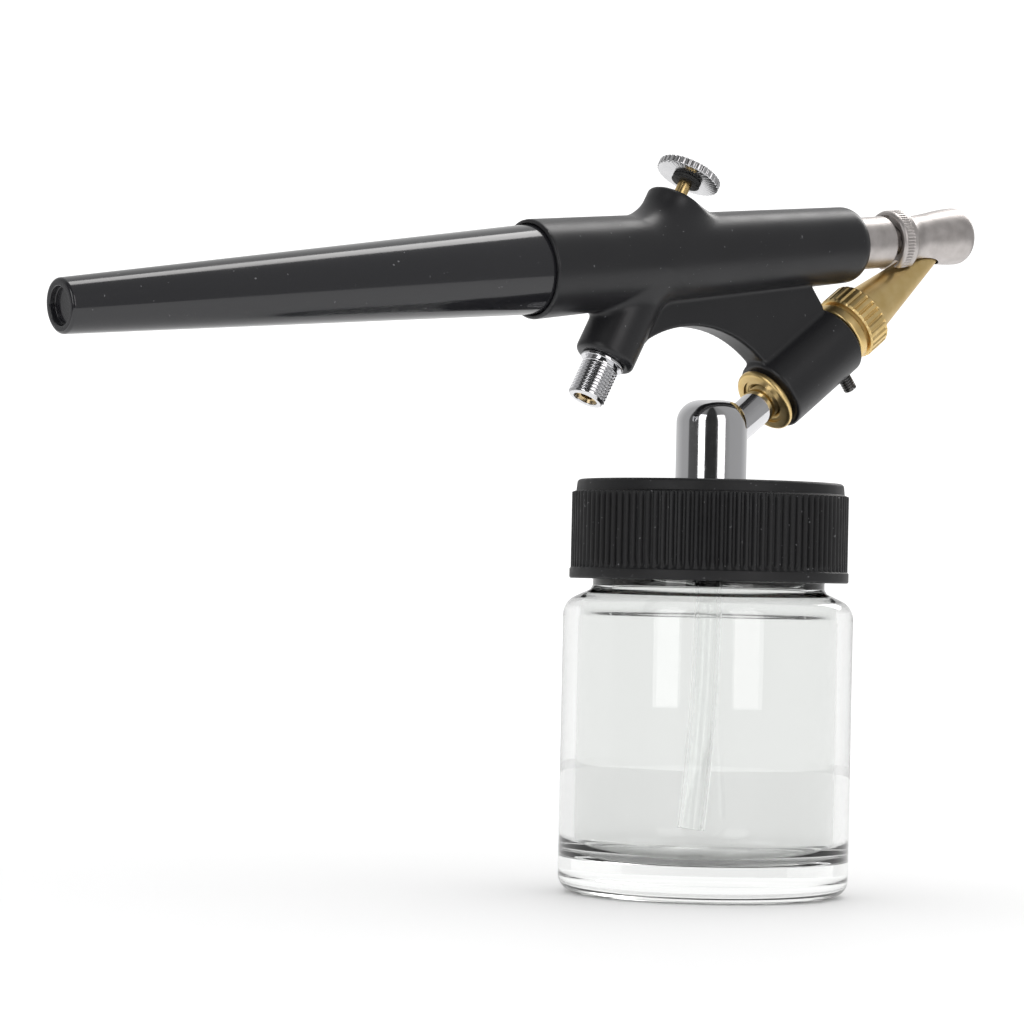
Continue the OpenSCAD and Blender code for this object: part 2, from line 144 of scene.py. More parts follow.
def web_distance(points, gun_under, valve_along, valve_ahead, paint_along, paint_under):
    """Distance to the web: a wall between boss, barrel, holder and nose, with the finger arch cut out."""
    flat = points[:, (0, 2)]
    arch_start = on_line(valve, web_low, boss_r * 0.9)
    arch_end = on_line(paint, holder_start - heel_l, -holder_r - heel_h)
    arch = finger_r - np.linalg.norm(flat - arch_centre(arch_start, arch_end, finger_r), axis=1)
    foot = on_line(paint, holder_end - web_inset, -holder_r)
    top = on_line(gun, web_top_at, body_nose_r - web_sunk)
    rise = (top - foot) / np.linalg.norm(top - foot)
    front = (flat - foot) @ np.array((rise[1], -rise[0]))
    web = np.maximum.reduce([-gun_under, -valve_ahead, paint_under + holder_r - web_sunk,
                             paint_along - holder_end + web_inset, arch])
    web = np.maximum(web, np.minimum(web_low - valve_along, web_ahead - valve_ahead))
    web = round_cut(web, front, 0.5)
    notch = np.maximum(paint_along - holder_start, -holder_r - notch_h - paint_under)
    web = np.maximum(web, -notch)
    return round_cut(web, np.abs(points[:, 1]) - web_w / 2, 0.35)


def body_distance(points):
    """Distance from the surface of the moulding, less than nothing inside it."""
    gun_along, gun_out, gun_under = seen_from(gun, points)
    valve_along, valve_out, valve_ahead = seen_from(valve, points)
    paint_along, paint_out, paint_under = seen_from(paint, points)
    slope = (body_nose_r - body_rear_r) / (body_front - body_rear)
    barrel = (gun_out - body_rear_r - slope * (gun_along - body_rear)) * math.cos(math.atan(slope))
    barrel = round_cut(barrel, gun_along - body_front, nose_round)
    barrel = round_cut(barrel, body_rear - gun_along, 0.25)
    top = np.maximum(round_cut(valve_out - boss_r, valve_along - boss_top, 0.55), -valve_along)
    low = np.maximum(round_cut(valve_out - boss_r, boss_low - valve_along, 0.7), valve_along)
    web = web_distance(points, gun_under, valve_along, valve_ahead, paint_along, paint_under)
    ends = np.abs(paint_along - (holder_start + holder_end) / 2) - (holder_end - holder_start) / 2
    holder = round_cut(paint_out - holder_r, ends, 0.4)
    shape = round_join(barrel, top, 2.2)
    shape = round_join(shape, low, 1.1)
    shape = round_join(shape, web, 0.4)
    return round_join(shape, holder, 0.5)


def skin(distance, low, high, step):
    """Wraps the surface where a distance is nothing in a net of quads, one corner to each crossed cell."""
    counts = [int(math.ceil((b - a) / step)) + 1 for a, b in zip(low, high)]
    axes = [a + step * np.arange(n) for a, n in zip(low, counts)]
    grid = np.stack(np.meshgrid(*axes, indexing="ij"), axis=-1)
    value = distance(grid.reshape(-1, 3)).reshape(counts)
    cells = tuple(n - 1 for n in counts)
    total = np.zeros(cells + (3,))
    crossings = np.zeros(cells)
    for axis in range(3):
        others = [other for other in range(3) if other != axis]
        for near in range(4):
            offset = [0, 0, 0]
            offset[others[0]], offset[others[1]] = near % 2, near // 2
            a = value[tuple(slice(o, o + n) for o, n in zip(offset, cells))]
            offset[axis] = 1
            b = value[tuple(slice(o, o + n) for o, n in zip(offset, cells))]
            offset[axis] = 0
            crossed = (a < 0) != (b < 0)
            share = np.where(crossed, a / np.where(crossed, a - b, 1), 0)
            at = np.array(offset)[None, None, None] + share[..., None] * np.eye(3)[axis]
            total += at * crossed[..., None]
            crossings += crossed
    used = crossings > 0
    number = np.full(cells, -1)
    number[used] = np.arange(used.sum())
    corner = np.stack(np.meshgrid(*[np.arange(n) for n in cells], indexing="ij"), axis=-1)
    verts = (corner[used] + total[used] / crossings[used][:, None]) * step + np.array(low)
    nudge = step * 0.1
    for _ in range(3):
        slope = np.stack([(distance(verts + nudge * way) - distance(verts - nudge * way)) / (2 * nudge)
                          for way in np.eye(3)], axis=1)
        steep = np.maximum((slope ** 2).sum(axis=1), 0.25)
        verts -= slope * (np.clip(distance(verts), -step, step) / steep)[:, None]
    quads = []
    for axis in range(3):
        u, v = (axis + 1) % 3, (axis + 2) % 3
        inner = [slice(1, -1)] * 3
        inner[axis] = slice(0, -1)
        ahead = list(inner)
        ahead[axis] = slice(1, None)
        a, b = value[tuple(inner)] < 0, value[tuple(ahead)] < 0
        for outward in (True, False):
            at = np.argwhere((a & ~b) if outward else (~a & b)) + [0 if k == axis else 1 for k in range(3)]
            round_edge = [(0, 0), (1, 0), (1, 1), (0, 1)] if outward else [(0, 0), (0, 1), (1, 1), (1, 0)]
            loop = []
            for du, dv in round_edge:
                back = np.zeros(3, int)
                back[u], back[v] = du - 1, dv - 1
                loop.append(number[tuple((at + back).T)])
            quads.append(np.stack(loop, axis=1))
    return verts, np.concatenate(quads)


def placed(name, data):
    """An object of the scene for a mesh, a lamp or the camera."""
    item = bpy.data.objects.new(name, data)
    bpy.context.scene.collection.objects.link(item)
    return item


def spun(name, outline, around):
    """Spins an outline of (along, out) round Z, in millimetres. Off the line, it closes on itself."""
    shape = bmesh.new()
    rings = []
    for along, out in outline:
        turns = [0] if out < 1e-6 else [2 * math.pi * k / around for k in range(around)]
        rings.append([shape.verts.new((out * math.cos(a), out * math.sin(a), along)) for a in turns])
    if len(rings[0]) > 1:
        rings.append(rings[0])
    for low, high in zip(rings, rings[1:]):
        for k in range(around):
            corners = [low[k % len(low)], low[(k + 1) % around % len(low)],
                       high[(k + 1) % around % len(high)], high[k % len(high)]]
            corners = list(dict.fromkeys(corners))
            if len(corners) > 2:
                shape.faces.new(corners)
    bmesh.ops.recalc_face_normals(shape, faces=shape.faces)
    mesh = bpy.data.meshes.new(name)
    shape.to_mesh(mesh)
    shape.free()
    return placed(name, mesh)


def soften(piece, edge_angle):
    """Shades a piece smooth and leaves only its real edges sharp."""
    piece.data.shade_smooth()
    piece.data.set_sharp_from_angle(angle=math.radians(edge_angle))


def set_on(piece, line, edge_angle=35):
    """Moves a mesh made in millimetres on Z to its place on a line."""
    piece.data.transform(Matrix.Scale(mm, 4) @ line)
    soften(piece, edge_angle)
    return piece


def turned(name, outline, line, around=128):
    return set_on(spun(name, outline, around), line)


def bored(piece, *cutters):
    """Takes cutters out of a piece and drops them."""
    for cutter in cutters:
        cut = piece.modifiers.new("bore", "BOOLEAN")
        cut.operation, cut.solver, cut.object = "DIFFERENCE", "MANIFOLD", cutter
        whole = bpy.data.meshes.new_from_object(piece.evaluated_get(bpy.context.evaluated_depsgraph_get()))
        piece.modifiers.remove(cut)
        piece.data = whole
        bpy.data.objects.remove(cutter)
    return piece


def bore(line, start, *steps, around=96):
    """A cutter for a stepped hole: from its start, each step has a radius and where it ends."""
    outline = [(start, 0)]
    for radius, end in steps:
        outline += [(outline[-1][0], radius), (end, radius)]
    return turned("bore", outline + [(outline[-1][0], 0)], line, around)


def finish_of(name, **constants):
    """A material whose constant numbers are set on the shader itself."""
    material = bpy.data.materials.new(name)
    material.use_nodes = True
    shader = material.node_tree.nodes["Principled BSDF"]
    for socket, value in constants.items():
        shader.inputs[socket.replace("_", " ")].default_value = value
    return material


def add(owner, kind, **settings):
    """Adds a node to a material or the world, sets its properties, and returns it."""
    node = owner.node_tree.nodes.new(kind)
    for key, value in settings.items():
        setattr(node, key, value)
    return node


def noise(material, line, size, detail=3.0, roughness=0.5):
    """Noise in millimetres on a line's own frame; size is the grain's size across, aside and along."""
    coordinates = add(material, "ShaderNodeTexCoord")
    place = add(material, "ShaderNodeMapping", vector_type="TEXTURE")
    place.inputs["Location"].default_value = line.translation * mm
    place.inputs["Rotation"].default_value = line.to_euler()
    place.inputs["Scale"].default_value = Vector(size) * mm
    grain = add(material, "ShaderNodeTexNoise")
    grain.inputs["Scale"].default_value = 1.0
    grain.inputs["Detail"].default_value = detail
    grain.inputs["Roughness"].default_value = roughness
    links = material.node_tree.links
    links.new(coordinates.outputs["Object"], place.inputs["Vector"])
    links.new(place.outputs["Vector"], grain.inputs["Vector"])
    return grain.outputs["Fac"]


def spread(material, source, low, high, start=0.3, end=0.7):
    """Carries a noise from its own spread to a range of values."""
    node = add(material, "ShaderNodeMapRange")
    for socket, value in zip(("From Min", "From Max", "To Min", "To Max"), (start, end, low, high)):
        node.inputs[socket].default_value = value
    material.node_tree.links.new(source, node.inputs["Value"])
    return node.outputs["Result"]


def drive(material, socket, source):
    material.node_tree.links.new(source, material.node_tree.nodes["Principled BSDF"].inputs[socket])


def tint(material, source, low, high, socket="Base Color"):
    """Colours a finish between two colours by a value from 0 to 1."""
    mix = add(material, "ShaderNodeMix", data_type="RGBA")
    mix.inputs[6].default_value = (*low, 1)
    mix.inputs[7].default_value = (*high, 1)
    material.node_tree.links.new(source, mix.inputs[0])
    drive(material, socket, mix.outputs[2])


def bump(material, source, height):
    """Raises the surface by a noise; height is in millimetres."""
    node = add(material, "ShaderNodeBump")
    node.inputs["Strength"].default_value = 1.0
    node.inputs["Distance"].default_value = height * mm
    before = material.node_tree.nodes["Principled BSDF"].inputs["Normal"]
    if before.is_linked:
        material.node_tree.links.new(before.links[0].from_socket, node.inputs["Normal"])
    material.node_tree.links.new(source, node.inputs["Height"])
    material.node_tree.links.new(node.outputs["Normal"], before)


def dulled(material, line, size, low, high, detail=3.0):
    """Lets a finish be duller in some places than in others."""
    drive(material, "Roughness", spread(material, noise(material, line, size, detail), low, high))


def grained(material, line, size, height, detail):
    """Raises a finish by grain of a size, in millimetres."""
    bump(material, noise(material, line, size, detail), height)


def fit(piece, material, body, slot, *nodes):
    """Gives a piece its finish, hides the CAD nodes that it stands for, and lets it ride on its body."""
    piece.data.materials.clear()
    piece.data.materials.append(material)
    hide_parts(*nodes)
    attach(piece, body)


low, high = (np.array(corner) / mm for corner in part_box("body_shell"))
verts, quads = skin(body_distance, low - 0.6, high + 0.6, 0.27)
mesh = bpy.data.meshes.new("body")
mesh.from_pydata(verts.tolist(), [], quads.tolist())
body = placed("body", mesh)
set_on(body, Matrix.Identity(4), edge_angle=60)

clamp = paint @ Matrix.Translation((0, 0, screw_at)) @ Matrix.Rotation(math.pi / 2, 4, "Y")
bored(
    body,
    bore(gun, body_rear - 1, (handle_front_r + rim_gap, rim), (plug_r + slip, plug_bore_end), around=128),
    bore(gun, nose_bore, (barrel_r + tight, body_front + 1), around=128),
    bore(gun, air_way_start, (air_way_r, air_way_end), around=48),
    bore(valve, boss_low - 1, (connector_r + tight, valve_seat), (valve_room_r, valve_room_top),
         (stem_r + slip, seal_low), (seal_room_r, seal_high), (stem_r + slip, boss_top + 1)),
    bore(paint, holder_start - 1, (paint_tube_r + slip, holder_end + 1)),
    bore(clamp, screw_bore, (screw_r + slip, holder_r + 1), around=48))
soften(body, 50)

satin_black = finish_of("satin_black", Specular_IOR_Level=0.42)
dulled(satin_black, gun, (4, 4, 6), 0.30, 0.40)
grained(satin_black, gun, (0.22, 0.22, 0.22), 0.004, 2)
grained(satin_black, gun, (2.5, 2.5, 5), 0.012, 1)
dust = spread(satin_black, noise(satin_black, gun, (0.5, 0.5, 0.5), 1), 0, 1, 0.76, 0.79)
tint(satin_black, dust, (0.012, 0.012, 0.0135), (0.09, 0.09, 0.095))
fit(body, satin_black, "gun", "black_shell", "body_shell")

# =====================================================================================================
# Handle: a hollow moulding of gloss black plastic that tapers to the tail, where its end has a shallow
# round recess. Its plug pushes into the body and its shoulder stops inside the body's rear rim.

handle_end, handle_end_r, plug_front = -98.0, 3.35, -19.05
recess, recess_rim, handle_wall, end_wall = 0.8, 1, 1.3, 2.5


def rounded(corners, facets=6):
    """A turned outline from (along, out, rounding) corners; each rounded corner becomes an arc."""
    outline = []
    for i, (along, out, rounding) in enumerate(corners):
        here = Vector((along, out))
        if not rounding:
            outline.append((along, out))
            continue
        back = (Vector(corners[i - 1][:2]) - here).normalized()
        on = (Vector(corners[(i + 1) % len(corners)][:2]) - here).normalized()
        half = back.angle(on) / 2
        centre = here + (back + on).normalized() * rounding / math.sin(half)
        first = here + back * rounding / math.tan(half) - centre
        last = here + on * rounding / math.tan(half) - centre
        outline += [tuple(centre + first.lerp(last, k / facets).normalized() * rounding)
                    for k in range(facets + 1)]
    return outline


handle = turned("handle", rounded([
    (handle_end + recess, 0, 0), (handle_end + recess, handle_end_r - recess_rim, 0.12),
    (handle_end, handle_end_r - recess_rim, 0.15), (handle_end, handle_end_r, 0.45),
    (rim + tight, handle_front_r, 0.15), (rim + tight, plug_r, 0), (plug_front, plug_r, 0.3),
    (plug_front, plug_r - handle_wall, 0.2), (handle_end + end_wall, handle_end_r - handle_wall, 0.4),
    (handle_end + end_wall, 0, 0)], 8), gun, 192)

gloss_black = finish_of("gloss_black", Base_Color=(0.012, 0.012, 0.014, 1), Specular_IOR_Level=0.55,
                        Coat_Weight=0.2, Coat_Roughness=0.04)
dulled(gloss_black, gun, (6, 6, 9), 0.10, 0.17, 4)
grained(gloss_black, gun, (3, 3, 14), 0.012, 1)
specks = spread(gloss_black, noise(gloss_black, gun, (0.6, 0.6, 0.6), 1), 0, 1, 0.77, 0.8)
tint(gloss_black, specks, (0.012, 0.012, 0.014), (0.12, 0.12, 0.125))
fit(handle, gloss_black, "handle", "black_gloss", "handle")

# =====================================================================================================
# Air barrel: a turned nickel-steel tube pushed into the nose. Its spigot carries an O-ring, and the air
# cap, turned in one piece with its ring, pushes on over it. The cap is cut away below for the fluid tip.

barrel_in, barrel_end, spigot_end, spigot_r, air_r = 14.0, 28.9, 32.3, 2.0, 1.0
groove_at, groove_w, groove_r = 31.2, 0.3, 1.4
barrel = turned("air_barrel", rounded([
    (barrel_in, air_r, 0), (barrel_in, barrel_r, 0.2), (barrel_end, barrel_r, 0.45),
    (barrel_end, spigot_r, 0.2), (groove_at - groove_w, spigot_r, 0), (groove_at - groove_w, groove_r, 0),
    (groove_at + groove_w, groove_r, 0), (groove_at + groove_w, spigot_r, 0), (spigot_end, spigot_r, 0.2),
    (spigot_end, air_r, 0.1)]), gun, 160)


def turned_metal(name, line, colour, worn, gloss, lines=0.006):
    """Metal off a lathe: fine rings round its line, and handling that dulls it in patches."""
    metal = finish_of(name, Metallic=1.0)
    patches = noise(metal, line, (1.6, 1.6, 1.6), 4)
    rings = noise(metal, line, (14, 14, 0.05), 2)
    mixed = add(metal, "ShaderNodeMath", operation="MULTIPLY_ADD")
    metal.node_tree.links.new(rings, mixed.inputs[0])
    mixed.inputs[1].default_value = 0.5
    halved = add(metal, "ShaderNodeMath", operation="MULTIPLY")
    metal.node_tree.links.new(patches, halved.inputs[0])
    halved.inputs[1].default_value = 0.5
    metal.node_tree.links.new(halved.outputs[0], mixed.inputs[2])
    drive(metal, "Roughness", spread(metal, mixed.outputs[0], *gloss))
    tint(metal, spread(metal, patches, 0, 1), worn, colour)
    bump(metal, rings, lines)
    return metal


nickel_steel = turned_metal("nickel_steel", gun, (0.60, 0.565, 0.55), (0.47, 0.44, 0.425),
                            (0.34, 0.48), 0.008)
fit(barrel, nickel_steel, "gun", "satin_steel", "air_barrel")


def dress(node, material):
    """Gives a CAD node that stays its finish."""
    mesh = frame["nodes"][node].data
    mesh.materials.clear()
    mesh.materials.append(material)


black_rubber = finish_of("black_rubber", Base_Color=(0.018, 0.018, 0.018, 1))
dulled(black_rubber, gun, (0.8, 0.8, 0.8), 0.55, 0.75)
grained(black_rubber, gun, (0.15, 0.15, 0.15), 0.006, 2)
for ring_node in ("cap_oring", "stem_seal", "plunger_seal"):
    dress(ring_node, black_rubber)


def plug(tree, socket, value):
    """Links a value from another node, or sets it on the socket."""
    if isinstance(value, bpy.types.NodeSocket):
        tree.links.new(value, socket)
    else:
        socket.default_value = value


def maths(tree, operation, *values):
    """A maths node of a geometry tree."""
    node = tree.nodes.new("ShaderNodeMath")
    node.operation = operation
    for socket, value in zip(node.inputs, values):
        plug(tree, socket, value)
    return node.outputs[0]


def smooth_step(tree, value, start, end, first=0.0, last=1.0):
    """Carries a value smoothly from one level to another between two limits."""
    node = tree.nodes.new("ShaderNodeMapRange")
    node.interpolation_type = "SMOOTHSTEP"
    for socket, number in zip(node.inputs, (value, start, end, first, last)):
        plug(tree, socket, number)
    return node.outputs["Result"]


def grooves_tree():
    """Grooves in a turned piece that still lies on Z: straight knurls, or a thread if they climb."""
    tree = bpy.data.node_groups.new("grooves", "GeometryNodeTree")
    tree.interface.new_socket("Geometry", in_out="INPUT", socket_type="NodeSocketGeometry")
    for name in ("Around", "Turns Per Length", "Depth", "Width", "Start", "End", "Fade", "Outside"):
        tree.interface.new_socket(name, in_out="INPUT", socket_type="NodeSocketFloat")
    tree.interface.new_socket("Finish", in_out="INPUT", socket_type="NodeSocketMaterial")
    tree.interface.new_socket("Geometry", in_out="OUTPUT", socket_type="NodeSocketGeometry")
    given = tree.nodes.new("NodeGroupInput").outputs
    width, start, end, fade = (given[name] for name in ("Width", "Start", "End", "Fade"))
    parts = tree.nodes.new("ShaderNodeSeparateXYZ")
    tree.links.new(tree.nodes.new("GeometryNodeInputPosition").outputs[0], parts.inputs[0])
    x, y, z = parts.outputs

    def plus(a, b):
        return maths(tree, "ADD", a, b)

    def less(a, b):
        return maths(tree, "SUBTRACT", a, b)

    def times(a, b):
        return maths(tree, "MULTIPLY", a, b)

    out = maths(tree, "SQRT", plus(times(x, x), times(y, y)))
    around = times(maths(tree, "ARCTAN2", y, x), given["Around"])
    climb = times(times(z, given["Turns Per Length"]), 2 * math.pi)
    wave = maths(tree, "COSINE", less(around, climb))
    edge, outside = 0.55, given["Outside"]
    shape = smooth_step(tree, wave, less(width, edge), plus(width, edge))
    outer = smooth_step(tree, out, less(outside, 0.02), outside)
    begun = smooth_step(tree, z, start, plus(start, fade))
    ended = smooth_step(tree, z, less(end, fade), end, 1.0, 0.0)
    cut = times(times(times(shape, outer), times(begun, ended)), given["Depth"])
    kept = maths(tree, "DIVIDE", less(out, cut), maths(tree, "MAXIMUM", out, 0.001))
    place = tree.nodes.new("ShaderNodeCombineXYZ")
    plug(tree, place.inputs[0], times(x, kept))
    plug(tree, place.inputs[1], times(y, kept))
    plug(tree, place.inputs[2], z)
    move = tree.nodes.new("GeometryNodeSetPosition")
    whole = tree.nodes.new("GeometryNodeRealizeInstances")
    paint_it = tree.nodes.new("GeometryNodeSetMaterial")
    result = tree.nodes.new("NodeGroupOutput")
    tree.links.new(given["Geometry"], move.inputs["Geometry"])
    tree.links.new(place.outputs[0], move.inputs["Position"])
    tree.links.new(move.outputs[0], whole.inputs[0])
    tree.links.new(whole.outputs[0], paint_it.inputs["Geometry"])
    tree.links.new(given["Finish"], paint_it.inputs["Material"])
    tree.links.new(paint_it.outputs[0], result.inputs[0])
    return tree


grooves = grooves_tree()


def grooved(piece, finish, around, depth, start, end, outside, width=0.0, fade=0.1, turns_per_length=0.0):
    """Runs the groove tree on a piece that still lies on Z, and keeps its result as a plain mesh."""
    cut = piece.modifiers.new("grooves", "NODES")
    cut.node_group = grooves
    values = {"Around": float(around), "Turns Per Length": turns_per_length, "Depth": depth, "Width": width,
              "Start": start, "End": end, "Fade": fade, "Outside": outside, "Finish": finish}
    for item in grooves.interface.items_tree:
        if item.name in values:
            cut[item.identifier] = values[item.name]
    piece.data = bpy.data.meshes.new_from_object(piece.evaluated_get(bpy.context.evaluated_depsgraph_get()))
    piece.modifiers.remove(cut)


def stations(start, end, step):
    """Even places from one end of a stretch to the other, for the rings that grooves need."""
    count = max(1, math.ceil(abs(end - start) / step))
    return [start + (end - start) * k / count for k in range(count + 1)]


cap_start, cap_end = 29.4, 42.9
cap_rim_r, cap_neck_r, cap_mouth_r = 4.18, 3.2, 3.86
neck_at, flare_end, mouth_round = cap_start + 3.8, cap_end - 1.6, 1.55
knurl_count, knurl_start, knurl_end = 58, cap_start + 0.45, cap_start + 2.0
socket_r, socket_front, seat_depth, channel_r = 2.08, spigot_end + 0.1, 1.2, 0.6


def flare(k):
    """The cap's outside from its neck to its mouth."""
    rise = math.sin(math.radians(90 * k)) ** 2
    return (neck_at + (flare_end - neck_at) * k, cap_neck_r + (cap_mouth_r - cap_neck_r) * rise)


knurl_outline = [(along, cap_rim_r) for along in stations(knurl_start, knurl_end, 0.08)]
mouth_turns = [math.radians(turn) for turn in range(16, 89, 6)]
mouth = [(flare_end + mouth_round * math.sin(turn), cap_mouth_r - mouth_round * (1 - math.cos(turn)))
         for turn in mouth_turns]
cap_outline = (
    [(cap_start + seat_depth, barrel_r + 0.1), (cap_start, barrel_r + 0.1), (cap_start, cap_rim_r - 0.3),
     (cap_start + 0.15, cap_rim_r - 0.12)]
    + knurl_outline
    + rounded([(knurl_end, cap_rim_r, 0), (knurl_end + 0.35, cap_rim_r, 0.25),
               (neck_at - 0.9, cap_rim_r - 0.55, 0.3), flare(0) + (0,)])[1:-1]
    + [flare(k / 10) for k in range(11)] + mouth
    + rounded([mouth[-1] + (0,), (cap_end, 2.6, 0.08), (cap_end - 6.4, channel_r, 0.5),
               (socket_front, channel_r, 0), (socket_front, socket_r, 0),
               (cap_start + seat_depth, socket_r, 0)], 4)[1:])
air_cap = spun("air_cap", cap_outline, knurl_count * 6)
grooved(air_cap, nickel_steel, around=knurl_count, depth=0.1, width=0.35, start=cap_start + 0.5,
        end=cap_start + 1.75, fade=0.12, outside=cap_rim_r - 0.05)
set_on(air_cap, gun)

collar_end, cone_r, tip_end, mouth_r = 31.75, 3.5, 50.41, 0.82
cap_travel, relief_gap, relief_over = 0.6, 0.3, 0.4


def swept(cutter, way, length):
    """What a cutter takes away as it is pushed along; the cutter's own shape has to be convex."""
    shape = bmesh.new()
    for vert in cutter.data.vertices:
        shape.verts.new(vert.co)
        shape.verts.new(vert.co - way * length * mm)
    hull = bmesh.ops.convex_hull(shape, input=shape.verts)
    inside = hull["geom_interior"] + hull["geom_unused"]
    corners = {item for item in inside if isinstance(item, bmesh.types.BMVert)}
    bmesh.ops.delete(shape, geom=list(corners), context="VERTS")
    shape.to_mesh(cutter.data)
    shape.free()
    return cutter


relief = turned("relief", [(collar_end, 0), (collar_end, cone_r + relief_gap),
                           (tip_end + relief_over, mouth_r + 0.25), (tip_end + relief_over, 0)], paint, 96)
bored(air_cap, swept(relief, gun.col[2].xyz, cap_travel))
soften(air_cap, 35)
fit(air_cap, nickel_steel, "air_cap", "satin_steel", "air_cap")

# =====================================================================================================
# Air valve: a chromed connector screwed into the lower boss takes the air hose on its M5 thread. Inside
# it a brass plunger with an O-ring is held shut by a steel spring, which a hollow brass screw holds in.

hose_end, hose_r, hose_pitch = -21.0, 2.45, 0.45
valve_bore_r, seat_top, seat_bottom = 1.55, -9.0, -10.6
shoulder_low, shoulder_high, shoulder_r = boss_low - 0.55, boss_low - 0.05, connector_r + 0.3
thread_outline = [(along, hose_r) for along in stations(hose_end + 0.3, boss_low - 1.0, hose_pitch / 9)]
connector_outline = (
    rounded([(seat_bottom, valve_bore_r, 0), (hose_end, valve_bore_r, 0.15), (hose_end, hose_r - 0.25, 0.08),
             (hose_end + 0.3, hose_r, 0)])[:-1]
    + thread_outline
    + rounded([(boss_low - 0.95, hose_r - 0.25, 0), (shoulder_low, hose_r - 0.25, 0),
               (shoulder_low, shoulder_r, 0.12), (shoulder_high, shoulder_r, 0.12),
               (shoulder_high, connector_r, 0), (seat_top, connector_r, 0.1), (seat_top, stem_r + 0.06, 0),
               (seat_bottom, stem_r + 0.06, 0)]))
chrome = finish_of("bright_chrome", Metallic=1.0, Base_Color=(0.74, 0.74, 0.755, 1))
dulled(chrome, valve, (1.2, 1.2, 1.2), 0.05, 0.12, 5)
grained(chrome, valve, (0.7, 0.7, 0.7), 0.0015, 3)
connector = spun("hose_connector", connector_outline, 120)
grooved(connector, chrome, around=1, turns_per_length=1 / hose_pitch, depth=0.24, start=hose_end + 0.1,
        end=boss_low - 1.0, fade=0.3, outside=valve_bore_r + 0.4)
set_on(connector, valve, 50)
fit(connector, chrome, "gun", "chrome", "hose_connector")

valve_brass = turned_metal("valve_brass", valve, (0.80, 0.60, 0.28), (0.66, 0.46, 0.19), (0.2, 0.32))
for brass_node in ("valve_screw", "valve_plunger"):
    dress(brass_node, valve_brass)

spring_low, spring_high, spring_r, spring_wire_r, spring_turns = -19.55, -12.6, 1.1, 0.2, 6
wire_steps, wire_sides = spring_turns * 36, 12
wire_turns = [2 * math.pi * side / wire_sides for side in range(wire_sides)]
wire = bmesh.new()
coils = []
for k in range(wire_steps + 1):
    turn = 2 * math.pi * spring_turns * k / wire_steps
    height = spring_low + spring_wire_r + (spring_high - spring_low - 2 * spring_wire_r) * k / wire_steps
    section = [(spring_r + spring_wire_r * math.cos(a), height + spring_wire_r * math.sin(a))
               for a in wire_turns]
    coils.append([wire.verts.new((out * math.cos(turn), out * math.sin(turn), up)) for out, up in section])
wire.faces.new(coils[0])
wire.faces.new(coils[-1])
for low, high in zip(coils, coils[1:]):
    for k in range(wire_sides):
        wire.faces.new((low[k - 1], low[k], high[k], high[k - 1]))
bmesh.ops.recalc_face_normals(wire, faces=wire.faces)
spring_mesh = bpy.data.meshes.new("valve_spring")
wire.to_mesh(spring_mesh)
wire.free()
spring = placed("valve_spring", spring_mesh)
set_on(spring, valve, 50)
spring_steel = turned_metal("spring_steel", valve, (0.6, 0.6, 0.61), (0.5, 0.5, 0.51), (0.2, 0.34))
spring.data.materials.append(spring_steel)
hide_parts("valve_spring")
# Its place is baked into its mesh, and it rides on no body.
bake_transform(spring)

# =====================================================================================================
# Trigger: a chromed button with a fluted edge sits on a brass stem that slides down through the upper
# boss on to the plunger. A black rubber collar under the button softens its stop.

button_low, button_r, flute_count = 12.45, 4.3, 34
button_top = button_low + 1.15
stem_low, stem_top, stem_socket = -6.6, 13.025, 0.6
hub_low, hub_r, hub_waist = 11.75, 2.0, 0.14

stem = turned("trigger_stem", rounded([(stem_low, 0, 0), (stem_low, stem_r, 0.15), (stem_top, stem_r, 0),
                                       (stem_top, 0, 0)]), valve, 64)
fit(stem, valve_brass, "trigger", "brass", "trigger_stem")

hub = turned("trigger_hub", rounded([
    (hub_low, stem_r + tight, 0), (button_low - tight, stem_r + tight, 0), (button_low - tight, hub_r, 0.1),
    ((hub_low + button_low) / 2, hub_r - hub_waist, 0), (hub_low, hub_r, 0.1)]), valve, 96)
fit(hub, black_rubber, "trigger", "rubber", "trigger_hub")

button = spun("trigger_button", rounded([
    (button_low + stem_socket, 0, 0), (button_low + stem_socket, stem_r + tight, 0),
    (button_low, stem_r + tight, 0), (button_low, button_r, 0.2), (button_top, button_r, 0.25),
    (button_top, 3.4, 0.8), (button_top - 0.12, 2.0, 0.9), (button_top - 0.14, 0, 0)]), flute_count * 10)
grooved(button, chrome, around=flute_count, depth=0.12, width=0.3, start=button_low - 0.1,
        end=button_top + 0.1, outside=button_r - 0.16)
set_on(button, valve, 50)
soft_chrome = turned_metal("soft_chrome", valve, (0.70, 0.70, 0.71), (0.6, 0.6, 0.61), (0.17, 0.27), 0.001)
fit(button, soft_chrome, "trigger", "chrome", "trigger_button")

# =====================================================================================================
# Paint line: a turned brass tube slides into the holder and a blackened screw clamps it from below. A
# ring closes its rear end, and its flange and a white washer face the tip. A slotted needle sits in it.

ring_start, ring_end, ring_r = 10.55, 11.55, 4.5
flange_start, flange_end, flange_r = 26.0, 27.5, 4.35
thread_r, thread_end, needle_seat_r = 2.6, 31.2, 1.42
siphon_r, siphon_bore_r, siphon_seat = 2.35, 1.3, 19.0

